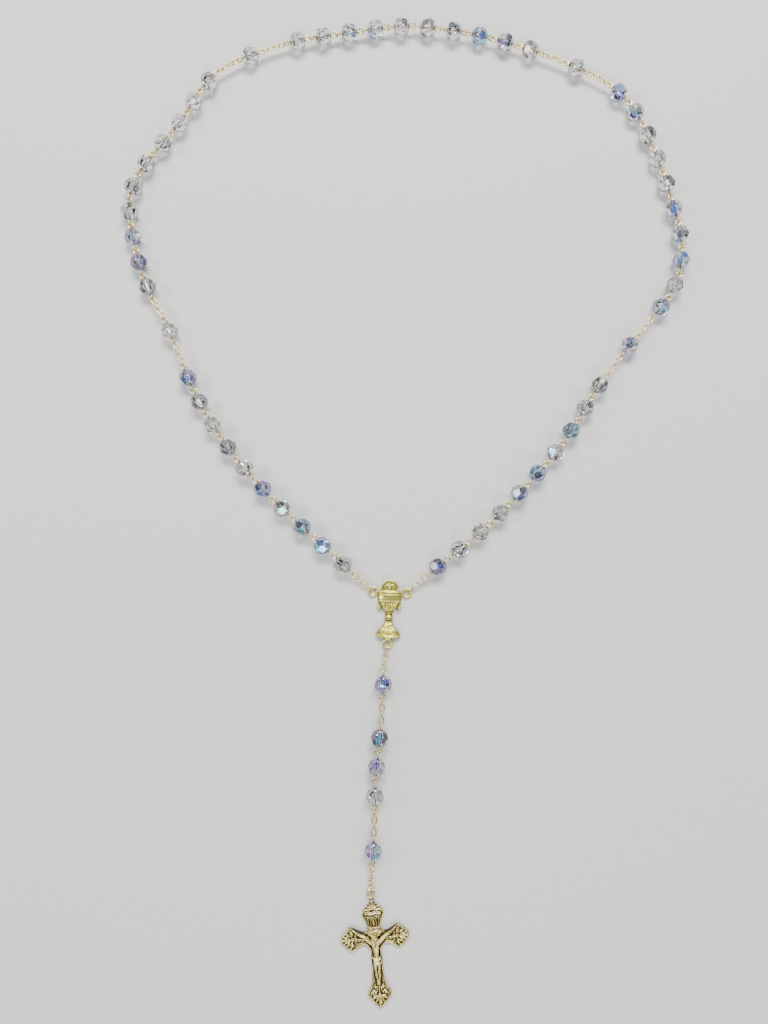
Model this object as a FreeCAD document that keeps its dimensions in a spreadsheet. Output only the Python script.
import FreeCAD, Part
import math
import os
import Sketcher

# A five-decade rosary laid flat: +Y runs from the medal to the top of the loop, +Z is up from the
# table, and the origin is the centre of the medal's flat back. All lengths are in millimetres.
V = FreeCAD.Vector
os.makedirs("parts", exist_ok=True)
doc = FreeCAD.newDocument("rosary")
sheet = doc.addObject("Spreadsheet::Sheet", "Sheet")

SIZES = {
    # crystal bead
    "bead_len": 5.9, "bead_bore": 0.9, "bead_stock": 4.2,
    "belt_lat": 22, "belt_dist": 2.8, "cap_lat": 58, "cap_dist": 2.96, "facets": 7,
    # eye pin of round wire with a loop at each end
    "pin_wire": 0.6, "loop_rad": 0.95, "bend_rad": 0.35, "shank_half": 3.05,
    # oval chain link
    "link_wire": 0.5, "link_end_rad": 0.75, "link_straight": 1.25,
    # oval jump ring above the crucifix
    "jump_wire": 0.65, "jump_end_rad": 1.05, "jump_straight": 1.75,
    # play between two rings that hang in each other
    "play": 0.1,
    # chalice medal
    "medal_flat": 0.45, "medal_back": 0.6, "ear_rad": 1.45, "ear_wire": 0.8, "ear_x": 6.0,
    "ear_y": 7.1, "ear_z": 1.05, "foot_ear_rad": 1.55, "foot_ear_y": -10.9, "host_rad": 3.1, "host_y": 8.2,
    "host_thick": 1.5, "host_cross": 0.25, "flute_count": 7,
    # crucifix
    "cross_thick": 1.3, "cross_rim": 0.4, "cross_rim_width": 0.45, "glory_rad": 3.2,
    "bail_rad": 1.25, "bail_wire": 0.7, "bail_y": 14.7, "bail_z": 1.1,
}
# Chalice silhouette: name, distance up the medal, half width.
CUP = [
    ("foot_low", -9.2, 4.2), ("foot_edge", -8.6, 4.65), ("foot_top", -7.9, 4.3),
    ("foot_mid", -6.2, 3.1), ("neck", -3.4, 1.0), ("knob_low", -2.4, 1.1), ("knob", -1.6, 1.55),
    ("knob_top", -0.8, 1.1), ("cup_low", 0.6, 1.7), ("cup_mid", 2.6, 3.6), ("cup_high", 4.4, 4.1),
    ("rim_low", 6.3, 4.15), ("rim", 7.0, 4.5), ("rim_top", 7.7, 4.35),
]
# Crucifix outline, right half, from the top point to the bottom point.
CROSS = [
    ("top_tip", 0.0, 12.9), ("top_bud", 1.2, 10.9), ("top_step", 1.4, 10.1), ("top_shelf", 2.8, 9.6),
    ("top_wide", 4.0, 8.3), ("top_waist", 2.2, 3.3), ("arm_root", 3.3, 1.9), ("arm_wide", 8.35, 4.0),
    ("arm_bud", 10.4, 2.15), ("arm_tip", 12.0, 0.0), ("arm_bud_low", 10.4, -2.15),
    ("arm_wide_low", 8.35, -4.0), ("arm_root_low", 3.3, -1.9), ("shaft_top", 1.8, -3.6),
    ("shaft_mid", 1.75, -8.5), ("shaft_low", 2.3, -14.4), ("foot_wide", 4.3, -18.5),
    ("foot_bud", 1.9, -21.2), ("foot_tip", 0.0, -23.3),
]
# Routes of the two strands and of the pendant, as points a hand would lay them through.
LEFT_ROUTE = [(-18, 17), (-33, 29.5), (-54, 49), (-66, 64), (-76, 81), (-83, 97), (-93, 114),
              (-99, 132), (-101.5, 147), (-96, 160), (-84, 177), (-75, 193), (-60, 203), (-43, 209.5),
              (-24, 213.5), (-4.6, 217)]
RIGHT_ROUTE = [(17, 17), (32, 30), (51, 51), (63, 67), (72.5, 84), (83, 99), (94, 113.5),
               (100, 123), (101.5, 140), (96, 160), (88.5, 179), (78, 195), (62, 204), (43.5, 210.5),
               (24.8, 215), (4.8, 217.2)]
PENDANT_ROUTE = [(-0.9, -18), (-1, -26), (-1.3, -44), (-2.1, -54.5), (-2, -64), (-1.9, -83),
                 (-2.1, -93)]
TOP = (0, 217.4)
BEAD_Z = 3.2

row = 0
for name, value in SIZES.items():
    row += 1
    sheet.set("A%d" % row, name)
    sheet.set("B%d" % row, str(value))
    sheet.setAlias("B%d" % row, name)
for name, first, second in CUP + CROSS:
    row += 1
    sheet.set("A%d" % row, name)
    sheet.set("B%d" % row, str(first))
    sheet.setAlias("B%d" % row, name + "_a")
    sheet.set("C%d" % row, str(second))
    sheet.setAlias("C%d" % row, name + "_b")
doc.recompute()


def bind(thing, **expressions):
    """Binds properties to the sheet; a double underscore stands for a dot."""
    for key, text in expressions.items():
        for alias in sorted(list(SIZES) + [n + s for n, _, _ in CUP + CROSS for s in ("_a", "_b")],
                            key=len, reverse=True):
            text = text.replace("<%s>" % alias, "Sheet." + alias)
        thing.setExpression(key.replace("__", "."), text)
    return thing


def solid(kind, label, **expressions):
    """A Part primitive with its sizes and place bound to the sheet."""
    thing = doc.addObject("Part::" + kind, label)
    return bind(thing, **expressions)


def joined(label, pieces, kind="Part::MultiFuse"):
    thing = doc.addObject(kind, label)
    thing.Shapes = pieces
    thing.Refine = False
    return thing


def cut(label, base, tool):
    thing = doc.addObject("Part::Cut", label)
    thing.Base = base
    thing.Tool = tool
    thing.Refine = False
    return thing


# ---- crystal bead: a bored cylinder of stock with four rings of flat facets ground into it ----
def plane_of(body, name):
    return [f for f in body.Origin.OriginFeatures if f.Role == name][0]


bead = doc.addObject("PartDesign::Body", "bead_master")
stock = bead.newObject("Sketcher::SketchObject", "bead_stock_sketch")
stock.AttachmentSupport = [(plane_of(bead, "YZ_Plane"), "")]
stock.MapMode = "FlatFace"
stock.addGeometry(Part.Circle(V(0, 0, 0), V(0, 0, 1), 4.2))
stock.addGeometry(Part.Circle(V(0, 0, 0), V(0, 0, 1), 0.45))
for i, text in enumerate(("<bead_stock>", "<bead_bore> / 2")):
    stock.addConstraint(Sketcher.Constraint("Coincident", i, 3, -1, 1))
    stock.addConstraint(Sketcher.Constraint("Radius", i, stock.Geometry[i].Radius))
    stock.renameConstraint(2 * i + 1, "circle%d" % i)
    bind(stock, **{"Constraints__circle%d" % i: text})
pad = bead.newObject("PartDesign::Pad", "bead_stock_pad")
pad.Profile = stock
pad.Midplane = True
bind(pad, Length="<bead_len>")
doc.recompute()


def facet_ring(name, lat, dist, side, turn):
    """Cuts one flat facet at a latitude of the bead, then repeats it round the bore."""
    angle = math.radians(SIZES[lat]) * side
    out = SIZES[dist]
    reach = 9.0
    corners = [(-reach, out), (reach, out), (reach, out + reach), (-reach, out + reach)]
    turned = [(x * math.cos(angle) + y * math.sin(angle), y * math.cos(angle) - x * math.sin(angle))
              for x, y in corners]
    sketch = bead.newObject("Sketcher::SketchObject", name + "_sketch")
    sketch.AttachmentSupport = [(plane_of(bead, "XZ_Plane"), "")]
    sketch.MapMode = "FlatFace"
    for i in range(4):
        sketch.addGeometry(Part.LineSegment(V(*turned[i], 0), V(*turned[(i + 1) % 4], 0)))
    for i in range(4):
        sketch.addConstraint(Sketcher.Constraint("Coincident", i, 2, (i + 1) % 4, 1))
    for i in range(3):
        sketch.addConstraint(Sketcher.Constraint("Perpendicular", i, i + 1))
    sketch.addConstraint(Sketcher.Constraint("Angle", 0, -angle))
    sketch.renameConstraint(7, "lean")
    sketch.addConstraint(Sketcher.Constraint("Distance", -1, 1, 0, out))
    sketch.renameConstraint(8, "out")
    sketch.addConstraint(Sketcher.Constraint("Distance", -1, 1, 1, reach))
    sketch.addConstraint(Sketcher.Constraint("Distance", 0, 2 * reach))
    sketch.addConstraint(Sketcher.Constraint("Distance", 1, reach))
    bind(sketch, Constraints__lean="%d deg * <%s>" % (-side, lat), Constraints__out="<%s>" % dist)
    # Every other ring starts half a facet round, so that the facets interlock.
    sketch.AttachmentOffset = FreeCAD.Placement(V(0, 0, 0), FreeCAD.Rotation(V(1, 0, 0), 1))
    bind(sketch, AttachmentOffset__Rotation__Angle="%d deg * 180 / <facets>" % turn)
    pocket = bead.newObject("PartDesign::Pocket", name + "_facet")
    pocket.Profile = sketch
    pocket.Midplane = True
    pocket.Length = 20
    ring = bead.newObject("PartDesign::PolarPattern", name + "_ring")
    ring.Originals = [pocket]
    ring.Axis = (plane_of(bead, "X_Axis"), [""])
    ring.Angle = 360
    bind(ring, Occurrences="<facets>")
    bead.Tip = ring
    doc.recompute()


for ring_name, lat, dist, side, turn in (
    ("belt_left", "belt_lat", "belt_dist", -1, 0),
    ("belt_right", "belt_lat", "belt_dist", 1, 1),
    ("cap_left", "cap_lat", "cap_dist", -1, 1),
    ("cap_right", "cap_lat", "cap_dist", 1, 0),
):
    facet_ring(ring_name, lat, dist, side, turn)


# ---- eye pin, chain link and jump ring: round wire from cylinders and part tori ----
def tube(label, length, radius, start, turn):
    """A straight run of wire along X from a start point."""
    thing = doc.addObject("Part::Cylinder", label)
    thing.Placement = FreeCAD.Placement(V(0, 0, 0), turn * FreeCAD.Rotation(V(0, 1, 0), 90))
    return bind(thing, Height=length, Radius=radius, Placement__Base__x=start[0],
                Placement__Base__y=start[1])


def arc(label, bend, wire, centre, turn, sweep):
    """A bent run of wire: part of a torus that sweeps counterclockwise from its own X axis."""
    thing = doc.addObject("Part::Torus", label)
    thing.Placement = FreeCAD.Placement(V(0, 0, 0), turn)
    return bind(thing, Radius1=bend, Radius2=wire, Angle3=sweep, Placement__Base__x=centre[0],
                Placement__Base__y=centre[1], Placement__Base__z=centre[2])


def oval(label, wire, end, straight):
    """A closed oval ring in the XY plane, longest along X."""
    left = FreeCAD.Rotation(V(0, 0, 1), 90)
    right = FreeCAD.Rotation(V(0, 0, 1), -90)
    flat = FreeCAD.Rotation()
    half = "<%s> / 2" % straight
    pieces = [
        arc(label + "_left", "<%s>" % end, "<%s> / 2" % wire, ("-" + half, "0", "0"), left, "180"),
        arc(label + "_right", "<%s>" % end, "<%s> / 2" % wire, (half, "0", "0"), right, "180"),
        tube(label + "_far", "<%s>" % straight, "<%s> / 2" % wire, ("-" + half, "<%s>" % end), flat),
        tube(label + "_near", "<%s>" % straight, "<%s> / 2" % wire, ("-" + half, "-<%s>" % end), flat),
    ]
    return joined(label + "_master", pieces)


link = oval("link", "link_wire", "link_end_rad", "link_straight")
jump = oval("jump", "jump_wire", "jump_end_rad", "jump_straight")

LOOP_X = "(<shank_half> + sqrt(<loop_rad> ^ 2 + 2 * <loop_rad> * <bend_rad>))"
r_loop, r_bend, shank = SIZES["loop_rad"], SIZES["bend_rad"], SIZES["shank_half"]
loop_x = shank + math.sqrt(r_loop ** 2 + 2 * r_loop * r_bend)
rise = math.degrees(math.atan2(r_bend, loop_x - shank))
LOOP_END = 143
wire = "<pin_wire> / 2"
pin_pieces = [tube("pin_shank", "2 * <shank_half>", wire, ("-<shank_half>", "0"), FreeCAD.Rotation())]
for side_name, quarter, half_turn in (("right", 90, 0), ("left", 0, 180)):
    # The right loop lies flat; the left loop stands upright, a quarter turn round the shank.
    roll = FreeCAD.Rotation(V(1, 0, 0), 90 - quarter) * FreeCAD.Rotation(V(0, 0, 1), half_turn)
    sign = "-" if half_turn else ""
    down = roll.multVec(V(0, -1, 0))
    bend_turn = roll * FreeCAD.Rotation(V(0, 0, 1), rise)
    loop_turn = roll * FreeCAD.Rotation(V(0, 0, 1), 180 + rise)
    bend_at = (sign + "<shank_half>", "%d * <bend_rad>" % round(down.y), "%d * <bend_rad>" % round(down.z))
    loop_at = (sign + LOOP_X, "0", "0")
    pin_pieces.append(arc("pin_bend_" + side_name, "<bend_rad>", wire, bend_at, bend_turn,
                          "%.4f" % (90 - rise)))
    pin_pieces.append(arc("pin_loop_" + side_name, "<loop_rad>", wire, loop_at, loop_turn,
                          "%.4f" % (180 + LOOP_END - rise)))
pin = joined("pin_master", pin_pieces)
doc.recompute()


# ---- chalice medal: a loft of half ellipses with a host, ears, leaves and flutes ----
sections = []
for name, _, _ in CUP:
    ring = doc.addObject("Part::Ellipse", "cup_" + name)
    ring.Placement = FreeCAD.Placement(V(0, 0, 0), FreeCAD.Rotation(V(1, 0, 0), 90))
    bind(ring, MajorRadius="<%s_b>" % name, MinorRadius="<medal_flat> * <%s_b>" % name,
         Placement__Base__y="<%s_a>" % name, Placement__Base__z="<medal_back>")
    sections.append(ring)
cup = doc.addObject("Part::Loft", "cup_loft")
cup.Sections = sections
cup.Solid = True
cup.Ruled = True
host = solid("Cylinder", "host_disc", Radius="<host_rad>", Height="<host_thick>",
             Placement__Base__y="<host_y>", Placement__Base__z="0.2")
host_edge = solid("Torus", "host_edge", Radius1="<host_rad> - 0.25", Radius2="0.25",
                  Placement__Base__y="<host_y>", Placement__Base__z="0.2 + <host_thick>")
medal_pieces = [cup, host, host_edge]
for label, long_x, long_y in (("upright", 0.5, 2.6), ("beam", 2.0, 0.5)):
    medal_pieces.append(solid(
        "Box", "host_cross_" + label, Length=str(long_x), Width=str(long_y),
        Height="<host_thick> + <host_cross>", Placement__Base__x=str(-long_x / 2),
        Placement__Base__y="<host_y> + 1.3 - %s / 2" % long_y, Placement__Base__z="0.2"))
for side in (-1, 1):
    medal_pieces.append(solid(
        "Torus", "ear", Radius1="<ear_rad>", Radius2="<ear_wire> / 2",
        Placement__Base__x="%d * <ear_x>" % side, Placement__Base__y="<ear_y>",
        Placement__Base__z="<ear_z>"))
    for y, rad in ((3.4, 0.85), (1.9, 0.6)):
        medal_pieces.append(solid(
            "Torus", "scroll", Radius1=str(rad), Radius2="0.3",
            Placement__Base__x="%d * (<cup_mid_b> + %s)" % (side, 0.35 if rad > 0.7 else -0.6),
            Placement__Base__y=str(y), Placement__Base__z="<ear_z>"))
medal_pieces.append(solid(
    "Torus", "foot_ear", Radius1="<foot_ear_rad>", Radius2="<ear_wire> / 2",
    Placement__Base__y="<foot_ear_y>", Placement__Base__z="<ear_z>"))


def bump(label, x, y, z, long, wide, high, turn=0):
    """An ellipsoid lying flat, long across the turned Y axis."""
    thing = doc.addObject("Part::Ellipsoid", label)
    thing.Radius1 = high
    thing.Radius2 = wide
    thing.Radius3 = long
    thing.Placement = FreeCAD.Placement(V(x, y, z), FreeCAD.Rotation(V(0, 0, 1), turn))
    return thing


def fan(label, count, centre_y, radius, spread, depth, long, wide):
    """Leaves or flutes spread round the front of the cup, each pointing away from one centre."""
    for i in range(count):
        turn = spread * (i - (count - 1) / 2)
        x = -radius * math.sin(math.radians(turn))
        y = centre_y + radius * math.cos(math.radians(turn))
        medal_pieces.append(bump(label, x, y, depth * math.cos(math.radians(turn * 0.8)),
                                 wide, long, 0.45, turn))


fan("leaf", 5, 0.0, 3.0, 24, 2.0, 1.25, 0.5)
fan("leaf_tip", 4, 0.0, 4.1, 24, 2.1, 0.6, 0.4)
fan("flute", 7, -3.0, -4.4, 13, 1.7, 1.5, 0.33)
medal_fuse = joined("medal_fuse", medal_pieces)
below = doc.addObject("Part::Box", "table_block")
below.Length = 40
below.Width = 60
below.Height = 10
below.Placement.Base = V(-20, -30, -10)
medal = cut("chalice_medal", medal_fuse, below)
doc.recompute()

# ---- crucifix: a rimmed plate with a glory, leaf work, a calm generic figure and a bail ring ----
right = [(n, 1) for n, _, _ in CROSS]
left = [(n, -1) for n, x, _ in reversed(CROSS) if x]
CORNERS = {n: (x, y) for n, x, y in CROSS}


def inset(points, by):
    """The same closed outline moved in by a distance on every side."""
    result = []
    for i, here in enumerate(points):
        before, after = points[i - 1], points[(i + 1) % len(points)]
        d1 = (here - before).normalize()
        d2 = (after - here).normalize()
        n1, n2 = V(d1.y, -d1.x, 0), V(d2.y, -d2.x, 0)
        middle = (n1 + n2).normalize()
        result.append(here + middle * (by / max(0.35, middle.dot(n1))))
    return result


outline = [V(CORNERS[n][0] * k, CORNERS[n][1], 0) for n, k in right + left]
plate = doc.addObject("PartDesign::Body", "cross_plate")
edge = plate.newObject("Sketcher::SketchObject", "cross_outline")
edge.AttachmentSupport = [(plane_of(plate, "XY_Plane"), "")]
edge.MapMode = "FlatFace"
count = len(outline)
for i in range(count):
    edge.addGeometry(Part.LineSegment(outline[i], outline[(i + 1) % count]))
for i in range(count):
    edge.addConstraint(Sketcher.Constraint("Coincident", i, 2, (i + 1) % count, 1))
for i, (name, k) in enumerate(right + left):
    for kind, value, column in (("DistanceX", outline[i].x, "a"), ("DistanceY", outline[i].y, "b")):
        if abs(value) < 1e-9:
            edge.addConstraint(Sketcher.Constraint("PointOnObject", i, 1, -2 if column == "a" else -1))
            continue
        at = edge.addConstraint(Sketcher.Constraint(kind, -1, 1, i, 1, value))
        edge.renameConstraint(at, "%s_%d_%s" % (name, k + 1, column))
        mirror = "-" if column == "a" and k < 0 else ""
        bind(edge, **{"Constraints__%s_%d_%s" % (name, k + 1, column): "%s<%s_%s>" % (mirror, name, column)})
plate_pad = plate.newObject("PartDesign::Pad", "cross_pad")
plate_pad.Profile = edge
bind(plate_pad, Length="<cross_thick>")
doc.recompute()
floor = plate.newObject("Sketcher::SketchObject", "cross_field")
floor.AttachmentSupport = [(plane_of(plate, "XY_Plane"), "")]
floor.MapMode = "FlatFace"
bind(floor, AttachmentOffset__Base__z="<cross_thick>")
field = inset(outline, SIZES["cross_rim_width"])
for i in range(count):
    floor.addGeometry(Part.LineSegment(field[i], field[(i + 1) % count]))
for i in range(count):
    floor.addConstraint(Sketcher.Constraint("Coincident", i, 2, (i + 1) % count, 1))
recess = plate.newObject("PartDesign::Pocket", "cross_recess")
recess.Profile = floor
bind(recess, Length="<cross_rim>")
doc.recompute()

# Crossing at the origin; the field's floor is where the relief stands.
FIELD = SIZES["cross_thick"] - SIZES["cross_rim"]
cross_pieces = [plate]
cross_pieces.append(solid("Cylinder", "glory_disc", Radius="<glory_rad>", Height="<cross_thick> - 0.15"))
cross_pieces.append(solid("Torus", "bail_ring", Radius1="<bail_rad>", Radius2="<bail_wire> / 2",
                          Placement__Base__y="<bail_y>", Placement__Base__z="<bail_z>"))
cross_pieces.append(solid("Box", "bail_neck", Length="1.1", Width="1.7", Height="<bail_z> + 0.1",
                          Placement__Base__x="-0.55", Placement__Base__y="12",
                          Placement__Base__z="0.1"))
for i in range(16):
    ray = doc.addObject("Part::Cylinder", "glory_ray")
    ray.Radius = 0.16
    ray.Height = 1.9
    out = FreeCAD.Rotation(V(0, 0, 1), 360 / 16 * (i + 0.5)) * FreeCAD.Rotation(V(0, 1, 0), 90)
    ray.Placement = FreeCAD.Placement(out.multVec(V(0, 0, 1.2)) + V(0, 0, 1.15), out)
    cross_pieces.append(ray)


def limb(label, start, end, thick):
    """A rounded limb that runs a little past two points."""
    step = V(*end) - V(*start)
    thing = doc.addObject("Part::Ellipsoid", label)
    thing.Radius1 = step.Length * 0.62
    thing.Radius2 = thick
    thing.Radius3 = thick
    middle = (V(*start) + V(*end)) * 0.5
    thing.Placement = FreeCAD.Placement(middle, FreeCAD.Rotation(V(0, 0, 1), step))
    cross_pieces.append(thing)


def knob(label, x, y, z, long, wide, high, turn=0):
    cross_pieces.append(bump(label, x, y, z, long, wide, high, turn))


# The figure: arms raised to the arm ends, head bowed to one side, a cloth at the hips.
knob("head", -0.2, 0.2, 1.8, 1.05, 0.8, 0.75, 12)
knob("neck", -0.1, -0.9, 1.5, 0.8, 0.45, 0.45, 5)
knob("chest", 0, -2.7, 1.45, 1.65, 1.15, 0.65)
knob("belly", 0, -4.9, 1.3, 1.6, 0.85, 0.55)
knob("cloth", 0, -6.9, 1.35, 1.35, 1.3, 0.7)
knob("cloth_knot", 1.15, -7.1, 1.25, 1.1, 0.4, 0.5, -12)
for side in (-1, 1):
    limb("upper_arm", (0.85 * side, -1.7, 1.4), (3.75 * side, 0.85, 1.3), 0.5)
    limb("forearm", (3.55 * side, 0.7, 1.3), (6.9 * side, 3.0, 1.2), 0.42)
    knob("hand", 7.3 * side, 3.2, 1.15, 0.6, 0.36, 0.32, -60 * side)
    limb("thigh", (0.5 * side, -7.5, 1.3), (0.42 * side, -10.7, 1.45), 0.58)
    limb("shin", (0.42 * side, -10.5, 1.4), (0.24 * side, -13.6, 1.2), 0.46)
    knob("foot", 0.27 * side, -14.3, 1.2, 0.85, 0.34, 0.37, 8 * side)
# Leaf work: the same little spray at the ends of the arms and of the shaft.
for x, y, turn, size in ((0, 8.6, 0, 1), (9.3, 0, -90, 1), (-9.3, 0, 90, 1), (0, -19.1, 180, 1.05)):
    for spin, far, long, wide in ((0, 1.6, 1.3, 0.45), (42, 1.2, 1.1, 0.4), (-42, 1.2, 1.1, 0.4),
                                  (88, 1.5, 0.8, 0.35), (-88, 1.5, 0.8, 0.35), (0, -0.6, 0.7, 0.6)):
        way = math.radians(turn + spin)
        knob("leaf_spray", x - far * size * math.sin(way), y + far * size * math.cos(way),
             FIELD + 0.05, long * size, wide, 0.45, turn + spin)
crucifix = joined("crucifix_fuse", cross_pieces)
doc.recompute()


# ---- layout: each strand is walked along its route, pivot by pivot ----
PLAY = SIZES["play"]
LINK_STEP = SIZES["link_straight"] + 2 * SIZES["link_end_rad"] - SIZES["link_wire"] - PLAY
PIN_STEP = 2 * (loop_x + SIZES["loop_rad"] - SIZES["pin_wire"] / 2) - PLAY
JUMP_STEP = SIZES["jump_straight"] + 2 * SIZES["jump_end_rad"] - SIZES["jump_wire"] - PLAY
EAR_IN = SIZES["ear_rad"] - SIZES["ear_wire"] / 2 - PLAY / 2
FOOT_EAR_IN = SIZES["foot_ear_rad"] - SIZES["ear_wire"] / 2 - PLAY / 2
DECADE = ["pin"] * 10
CHAIN = ["link"] * 4
STRAND = CHAIN + DECADE + CHAIN + ["pin"] + CHAIN + DECADE + CHAIN + ["pin"] + CHAIN + ["pin"] * 5
PENDANT = CHAIN + ["pin"] + CHAIN + ["pin"] * 3 + CHAIN + ["pin"] + ["link"] * 3 + ["jump"]
STEP = {"link": LINK_STEP, "pin": PIN_STEP, "jump": JUMP_STEP}


def route_of(points):
    line = Part.BSplineCurve()
    line.interpolate([V(x, y, 0) for x, y in points])
    return line


def height(run, start_z):
    """The wires rise from the medal's ear to the beads' bores over the first links."""
    return BEAD_Z + (start_z - BEAD_Z) * max(0.0, 1 - run / 8.5)


def walk(line, kinds, start_z):
    """Pivots one step apart along the route, from its start."""
    u, end = line.FirstParameter, line.LastParameter
    here = line.value(u)
    pivots = [V(here.x, here.y, start_z)]
    for kind in kinds:
        low, high = u, min(end, u + (end - line.FirstParameter) * 0.2)
        for _ in range(40):
            middle = (low + high) / 2
            spot = line.value(middle)
            spot.z = height((spot - line.value(line.FirstParameter)).Length, start_z)
            if (spot - pivots[-1]).Length < STEP[kind]:
                low = middle
            else:
                high = middle
        u = low
        pivots.append(spot)
    return pivots


def strand(points, side):
    """The strand whose last pivot falls at the top of the loop: its route is bowed out or in until
    the walk ends there."""
    start = V(SIZES["ear_x"] * side, SIZES["ear_y"], 0)
    toward = (V(*points[0], 0) - start).normalize()
    start = start + toward * EAR_IN
    low, high = -4.0, 4.0
    for _ in range(24):
        bow = (low + high) / 2
        spots = [(start.x, start.y)]
        for i, (x, y) in enumerate(points):
            share = math.sin(math.pi * (i + 1) / (len(points) + 1))
            out = V(x, y - 100, 0).normalize() * (bow * share)
            spots.append((x + out.x, y + out.y))
        line = route_of(spots + [TOP, (-30 * side, TOP[1] - 2)])
        pivots = walk(line, STRAND, SIZES["ear_z"])
        if (pivots[-1].x - TOP[0]) * side > 0:
            high = bow
        else:
            low = bow
    return pivots


def frame(a, b, roll):
    """The place of a piece between two pivots: X along it, Z up, then rolled about X."""
    x = (b - a).normalize()
    y = V(0, 0, 1).cross(x).normalize()
    z = x.cross(y)
    turn = FreeCAD.Rotation(x, y, z, "XYZ") * FreeCAD.Rotation(V(1, 0, 0), roll)
    return FreeCAD.Placement((a + b) * 0.5, turn)


def places(pivots, kinds, twist=0.0, rolls=()):
    """One place for each piece. Links alternate upright and flat; the last pins take the twist."""
    found = []
    upright = True
    for i, kind in enumerate(kinds):
        late = max(0, i - (len(kinds) - 5))
        roll = twist * late / 4.0
        if kind != "pin":
            roll += 90 if upright else 0
            upright = not upright
        if rolls and i >= len(kinds) - len(rolls):
            roll = rolls[i - len(kinds)]
        found.append(frame(pivots[i], pivots[i + 1], roll))
    return found


MASTER = {"bead": bead, "pin": pin, "link": link, "jump": jump, "medal": medal, "cross": crucifix}
nodes = []


def node(label, pieces):
    """A named sub-part: a compound of placed copies of the masters."""
    copies = []
    for kind, place in pieces:
        copy = doc.addObject("App::Link", label + "_piece")
        copy.LinkedObject = MASTER[kind]
        copy.LinkPlacement = place
        copies.append(copy)
    group = doc.addObject("Part::Compound", label)
    group.Links = copies
    group.Label = label
    nodes.append(group)
    return group


node("chalice_medal_body", [("medal", FreeCAD.Placement())])
pivot_report = {}
for word, side, points in (("left", -1, LEFT_ROUTE), ("right", 1, RIGHT_ROUTE)):
    pivots = strand(points, side)
    spots = places(pivots, STRAND, 45.0)
    at = 0
    for label, kind, size in (
        ("chain_1", "link", 4), ("decade_lower_a", "pin", 5), ("decade_lower_b", "pin", 5),
        ("chain_2", "link", 4), ("our_father_1", "pin", 1), ("chain_3", "link", 4),
        ("decade_upper_a", "pin", 5), ("decade_upper_b", "pin", 5), ("chain_4", "link", 4),
        ("our_father_2", "pin", 1), ("chain_5", "link", 4), ("top_decade_half", "pin", 5),
    ):
        name = "%s_%s" % (word, label)
        pivot_report[name] = (pivots[at], pivots[at + size])
        group = spots[at:at + size]
        at += size
        if kind == "link":
            node(name, [("link", p) for p in group])
        else:
            node(name + "_beads" if size > 1 else name + "_bead", [("bead", p) for p in group])
            node(name + "_pins" if size > 1 else name + "_pin", [("pin", p) for p in group])

start = (0, SIZES["foot_ear_y"] - FOOT_EAR_IN)
pendant_line = route_of([start] + PENDANT_ROUTE + [(-1.7, -104)])
pivots = walk(pendant_line, PENDANT, SIZES["ear_z"])
# The last links come down again, evenly, to the crucifix's bail.
BAIL_Z = SIZES["bail_z"]
DROP = (BEAD_Z - BAIL_Z - 0.14) / 4
for i in (-4, -3, -2, -1):
    flat = pivots[i] - pivots[i - 1]
    flat.z = 0
    flat = flat.normalize() * math.sqrt(STEP[PENDANT[i]] ** 2 - DROP ** 2)
    pivots[i] = pivots[i - 1] + flat - V(0, 0, DROP)
# The links below the last bead turn slowly round, so that every pair of rings crosses well aslant.
spots = places(pivots, PENDANT, rolls=(75, 150, 45, 120))
at = 0
for label, kind, size in (
    ("pendant_chain_1", "link", 4), ("pendant_our_father_1", "pin", 1), ("pendant_chain_2", "link", 4),
    ("pendant_hail_mary_1", "pin", 1), ("pendant_hail_mary_2", "pin", 1),
    ("pendant_hail_mary_3", "pin", 1), ("pendant_chain_3", "link", 4),
    ("pendant_our_father_2", "pin", 1), ("pendant_chain_4", "link", 3), ("jump_ring", "jump", 1),
):
    pivot_report[label] = (pivots[at], pivots[at + size])
    group = spots[at:at + size]
    at += size
    if kind == "pin":
        node(label + "_bead", [("bead", p) for p in group])
        node(label + "_pin", [("pin", p) for p in group])
    else:
        node(label, [(kind, p) for p in group])
# The crucifix hangs from the jump ring, its lower end leaning to the right.
LEAN = 8
turn = FreeCAD.Rotation(V(0, 0, 1), LEAN)
bail_in = SIZES["bail_rad"] - SIZES["bail_wire"] / 2 - PLAY / 2
bail_hang = turn.multVec(V(0, SIZES["bail_y"] + bail_in, BAIL_Z))
base = V(pivots[-1].x, pivots[-1].y, BAIL_Z) - bail_hang
base.z = 0
node("crucifix", [("cross", FreeCAD.Placement(base, turn))])
pivot_report["crucifix"] = (pivots[-1], base)
doc.recompute()

faults = [o.Label for o in doc.Objects if "Invalid" in o.State or "Error" in o.State]
for group in nodes:
    shape = group.Shape
    if shape.isNull() or not shape.isValid() or not shape.Solids:
        faults.append(group.Label)
if faults:
    raise SystemExit("not written, faults in: " + ", ".join(faults))
for group in nodes:
    group.Shape.exportStep("parts/%s.step" % group.Label)
print(len(nodes), "nodes,", sum(len(g.Shape.Solids) for g in nodes), "solids")
# The pivots at the two ends of each moving piece, which the joints of the record stand on.
for name, ends in pivot_report.items():
    print("PIVOT", name, " ".join("%.3f" % value for point in ends for value in point))
